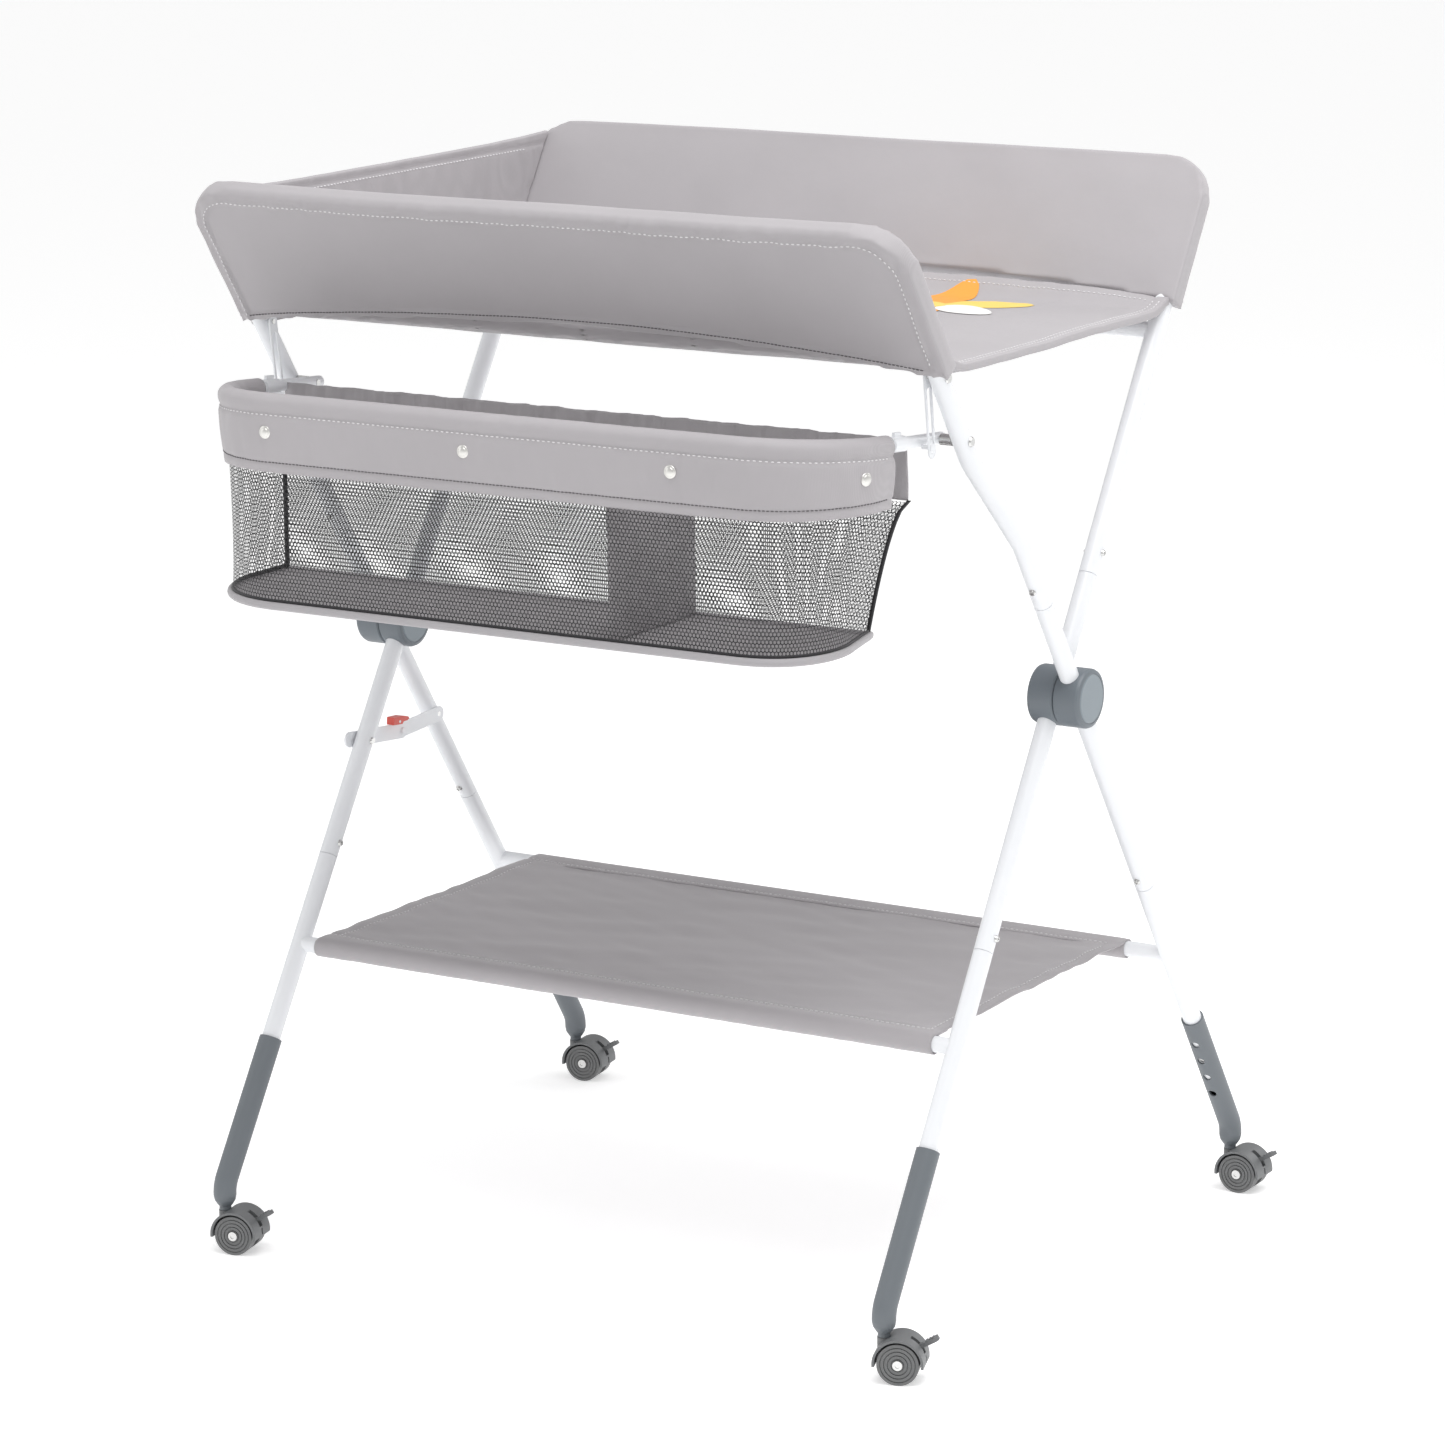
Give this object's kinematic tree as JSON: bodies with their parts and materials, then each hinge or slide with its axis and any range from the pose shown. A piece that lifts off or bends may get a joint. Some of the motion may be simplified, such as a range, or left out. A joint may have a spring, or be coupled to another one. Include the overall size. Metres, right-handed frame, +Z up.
{
  "type": "changing table",
  "caption": "Folding changing table: crossed tube frames, padded-wall fabric top, hanging net basket, cloth shelf and braked casters.",
  "frame": {"origin": "on the floor below the middle of the whole outline", "axes": "+Z up, +X along the table to the open end, -Y towards the person using it"},
  "size_m": [0.8768, 0.7729, 1.0803],
  "materials": {
    "white_tube": "gloss powder coat",
    "hub_grey": "moulded, satin",
    "cap_grey": "moulded, satin",
    "foot_grey": "moulded, satin",
    "wheel_grey": "moulded nylon",
    "steel": "bright zinc",
    "grey_cloth": "coated polyester weave",
    "black_net": "hexagonal net",
    "catch_red": "moulded"
  },
  "bodies": {
    "inner_frame": {"back_bow": "white_tube", "back_rail": "white_tube", "inner_middle_tubes": "white_tube", "front_leg_left": "white_tube", "front_leg_right": "white_tube", "front_shelf_bar": "white_tube", "inner_hub_left": "hub_grey", "inner_hub_right": "hub_grey", "inner_hub_caps": "cap_grey", "hub_bolts": "steel", "inner_frame_screws": "steel", "back_wall": "grey_cloth", "changing_mat": "grey_cloth", "head_wall": "grey_cloth", "shelf_sheet": "grey_cloth"},
    "outer_frame": {"front_bow": "white_tube", "front_rail": "white_tube", "outer_middle_tubes": "white_tube", "back_leg_left": "white_tube", "back_leg_right": "white_tube", "back_shelf_bar": "white_tube", "outer_hub_left": "hub_grey", "outer_hub_right": "hub_grey", "outer_hub_caps": "cap_grey", "outer_frame_screws": "steel", "front_wall": "grey_cloth"},
    "foot_front_left": {"foot_front_left": "foot_grey"},
    "button_front_left": {"button_front_left": "steel"},
    "caster_front_left": {"hood_front_left": "foot_grey", "axle_front_left": "steel"},
    "wheels_front_left": {"wheels_front_left": "wheel_grey"},
    "brake_front_left": {"brake_front_left": "foot_grey"},
    "foot_front_right": {"foot_front_right": "foot_grey"},
    "button_front_right": {"button_front_right": "steel"},
    "caster_front_right": {"hood_front_right": "foot_grey", "axle_front_right": "steel"},
    "wheels_front_right": {"wheels_front_right": "wheel_grey"},
    "brake_front_right": {"brake_front_right": "foot_grey"},
    "foot_back_left": {"foot_back_left": "foot_grey"},
    "button_back_left": {"button_back_left": "steel"},
    "caster_back_left": {"hood_back_left": "foot_grey", "axle_back_left": "steel"},
    "wheels_back_left": {"wheels_back_left": "wheel_grey"},
    "brake_back_left": {"brake_back_left": "foot_grey"},
    "foot_back_right": {"foot_back_right": "foot_grey"},
    "button_back_right": {"button_back_right": "steel"},
    "caster_back_right": {"hood_back_right": "foot_grey", "axle_back_right": "steel"},
    "wheels_back_right": {"wheels_back_right": "wheel_grey"},
    "brake_back_right": {"brake_back_right": "foot_grey"},
    "brace_front": {"brace_front_link": "white_tube"},
    "brace_rear": {"brace_rear_link": "white_tube"},
    "brace_catch": {"brace_release": "catch_red"},
    "basket": {"basket_frame": "white_tube", "basket_band": "grey_cloth", "basket_net": "black_net", "basket_divider": "grey_cloth", "basket_snaps": "steel"},
    "link_pair": {"slotted_links": "white_tube"}
  },
  "joints": [
    {"name": "fold", "type": "hinge", "parent": "inner_frame", "child": "outer_frame", "pos_m": [-0.018, 0.0105, 0.588], "axis": [-1, 0, 0], "range_deg": [0, 50], "deforming": ["changing_mat", "head_wall", "shelf_sheet"]},
    {"name": "height_front_left", "type": "slide", "parent": "inner_frame", "child": "foot_front_left", "axis": [0, -0.5388, -0.8425], "range_m": [-0.05, 0.025]},
    {"name": "button_press_front_left", "type": "slide", "parent": "inner_frame", "child": "button_front_left", "axis": [0, -0.8425, 0.5388], "range_m": [0, 0.004], "stiffness_N_per_m": 800, "springref_m": -0.003},
    {"name": "swivel_front_left", "type": "hinge", "parent": "foot_front_left", "child": "caster_front_left", "pos_m": [-0.398, -0.32246, 0.042], "axis": [0, 0, 1], "continuous": true},
    {"name": "roll_front_left", "type": "hinge", "parent": "caster_front_left", "child": "wheels_front_left", "pos_m": [-0.38284, -0.31924, 0.02], "axis": [-0.2079, 0.9781, 0], "continuous": true},
    {"name": "brake_press_front_left", "type": "hinge", "parent": "caster_front_left", "child": "brake_front_left", "pos_m": [-0.36915, -0.31633, 0.0315], "axis": [-0.2079, 0.9781, 0], "range_deg": [0, 14]},
    {"name": "height_front_right", "type": "slide", "parent": "inner_frame", "child": "foot_front_right", "axis": [0, -0.5388, -0.8425], "range_m": [-0.05, 0.025]},
    {"name": "button_press_front_right", "type": "slide", "parent": "inner_frame", "child": "button_front_right", "axis": [0, -0.8425, 0.5388], "range_m": [0, 0.004], "stiffness_N_per_m": 800, "springref_m": -0.003},
    {"name": "swivel_front_right", "type": "hinge", "parent": "foot_front_right", "child": "caster_front_right", "pos_m": [0.362, -0.32246, 0.042], "axis": [0, 0, 1], "continuous": true},
    {"name": "roll_front_right", "type": "hinge", "parent": "caster_front_right", "child": "wheels_front_right", "pos_m": [0.37656, -0.31716, 0.02], "axis": [-0.342, 0.9397, 0], "continuous": true},
    {"name": "brake_press_front_right", "type": "hinge", "parent": "caster_front_right", "child": "brake_front_right", "pos_m": [0.38972, -0.31237, 0.0315], "axis": [-0.342, 0.9397, 0], "range_deg": [0, 14]},
    {"name": "height_back_left", "type": "slide", "parent": "outer_frame", "child": "foot_back_left", "axis": [0, 0.5592, -0.829], "range_m": [-0.05, 0.025]},
    {"name": "button_press_back_left", "type": "slide", "parent": "outer_frame", "child": "button_back_left", "axis": [0, 0.829, 0.5592], "range_m": [0, 0.004], "stiffness_N_per_m": 800, "springref_m": -0.003},
    {"name": "swivel_back_left", "type": "hinge", "parent": "foot_back_left", "child": "caster_back_left", "pos_m": [-0.422, 0.36139, 0.042], "axis": [0, 0, 1], "continuous": true},
    {"name": "roll_back_left", "type": "hinge", "parent": "caster_back_left", "child": "wheels_back_left", "pos_m": [-0.40669, 0.36382, 0.02], "axis": [-0.1564, 0.9877, 0], "continuous": true},
    {"name": "brake_press_back_left", "type": "hinge", "parent": "caster_back_left", "child": "brake_back_left", "pos_m": [-0.39286, 0.36601, 0.0315], "axis": [-0.1564, 0.9877, 0], "range_deg": [0, 14]},
    {"name": "height_back_right", "type": "slide", "parent": "outer_frame", "child": "foot_back_right", "axis": [0, 0.5592, -0.829], "range_m": [-0.05, 0.025]},
    {"name": "button_press_back_right", "type": "slide", "parent": "outer_frame", "child": "button_back_right", "axis": [0, 0.829, 0.5592], "range_m": [0, 0.004], "stiffness_N_per_m": 800, "springref_m": -0.003},
    {"name": "swivel_back_right", "type": "hinge", "parent": "foot_back_right", "child": "caster_back_right", "pos_m": [0.386, 0.36139, 0.042], "axis": [0, 0, 1], "continuous": true},
    {"name": "roll_back_right", "type": "hinge", "parent": "caster_back_right", "child": "wheels_back_right", "pos_m": [0.4015, 0.36166, 0.02], "axis": [-0.0175, 0.9998, 0], "continuous": true},
    {"name": "brake_press_back_right", "type": "hinge", "parent": "caster_back_right", "child": "brake_back_right", "pos_m": [0.4155, 0.36191, 0.0315], "axis": [-0.0175, 0.9998, 0], "range_deg": [0, 14]},
    {"name": "brace_front_turn", "type": "hinge", "parent": "inner_frame", "child": "brace_front", "pos_m": [-0.41, -0.0631, 0.47292], "axis": [1, 0, 0], "range_deg": [0, 31]},
    {"name": "brace_rear_turn", "type": "hinge", "parent": "outer_frame", "child": "brace_rear", "pos_m": [-0.41, 0.09086, 0.46887], "axis": [-1, 0, 0], "range_deg": [0, 81]},
    {"name": "catch_press", "type": "hinge", "parent": "brace_front", "child": "brace_catch", "pos_m": [-0.404, 0.00217, 0.47925], "axis": [1, 0, 0], "range_deg": [0, 12], "stiffness_Nm_per_rad": 0.08, "springref_deg": -8.59},
    {"name": "basket_tilt", "type": "hinge", "parent": "outer_frame", "child": "basket", "pos_m": [-0.018, -0.17431, 0.862], "axis": [-1, 0, 0], "range_deg": [0, 30]},
    {"name": "link_swing", "type": "hinge", "parent": "outer_frame", "child": "link_pair", "pos_m": [-0.018, -0.21821, 0.92708], "axis": [1, 0, 0], "range_deg": [0, 6]}
  ],
  "couplings": [
    {"joint": "brace_front_turn", "follows": "fold", "ratio": 0.594},
    {"joint": "brace_rear_turn", "follows": "fold", "ratio": 1.588},
    {"joint": "link_swing", "follows": "basket_tilt", "ratio": 0.19}
  ]
}
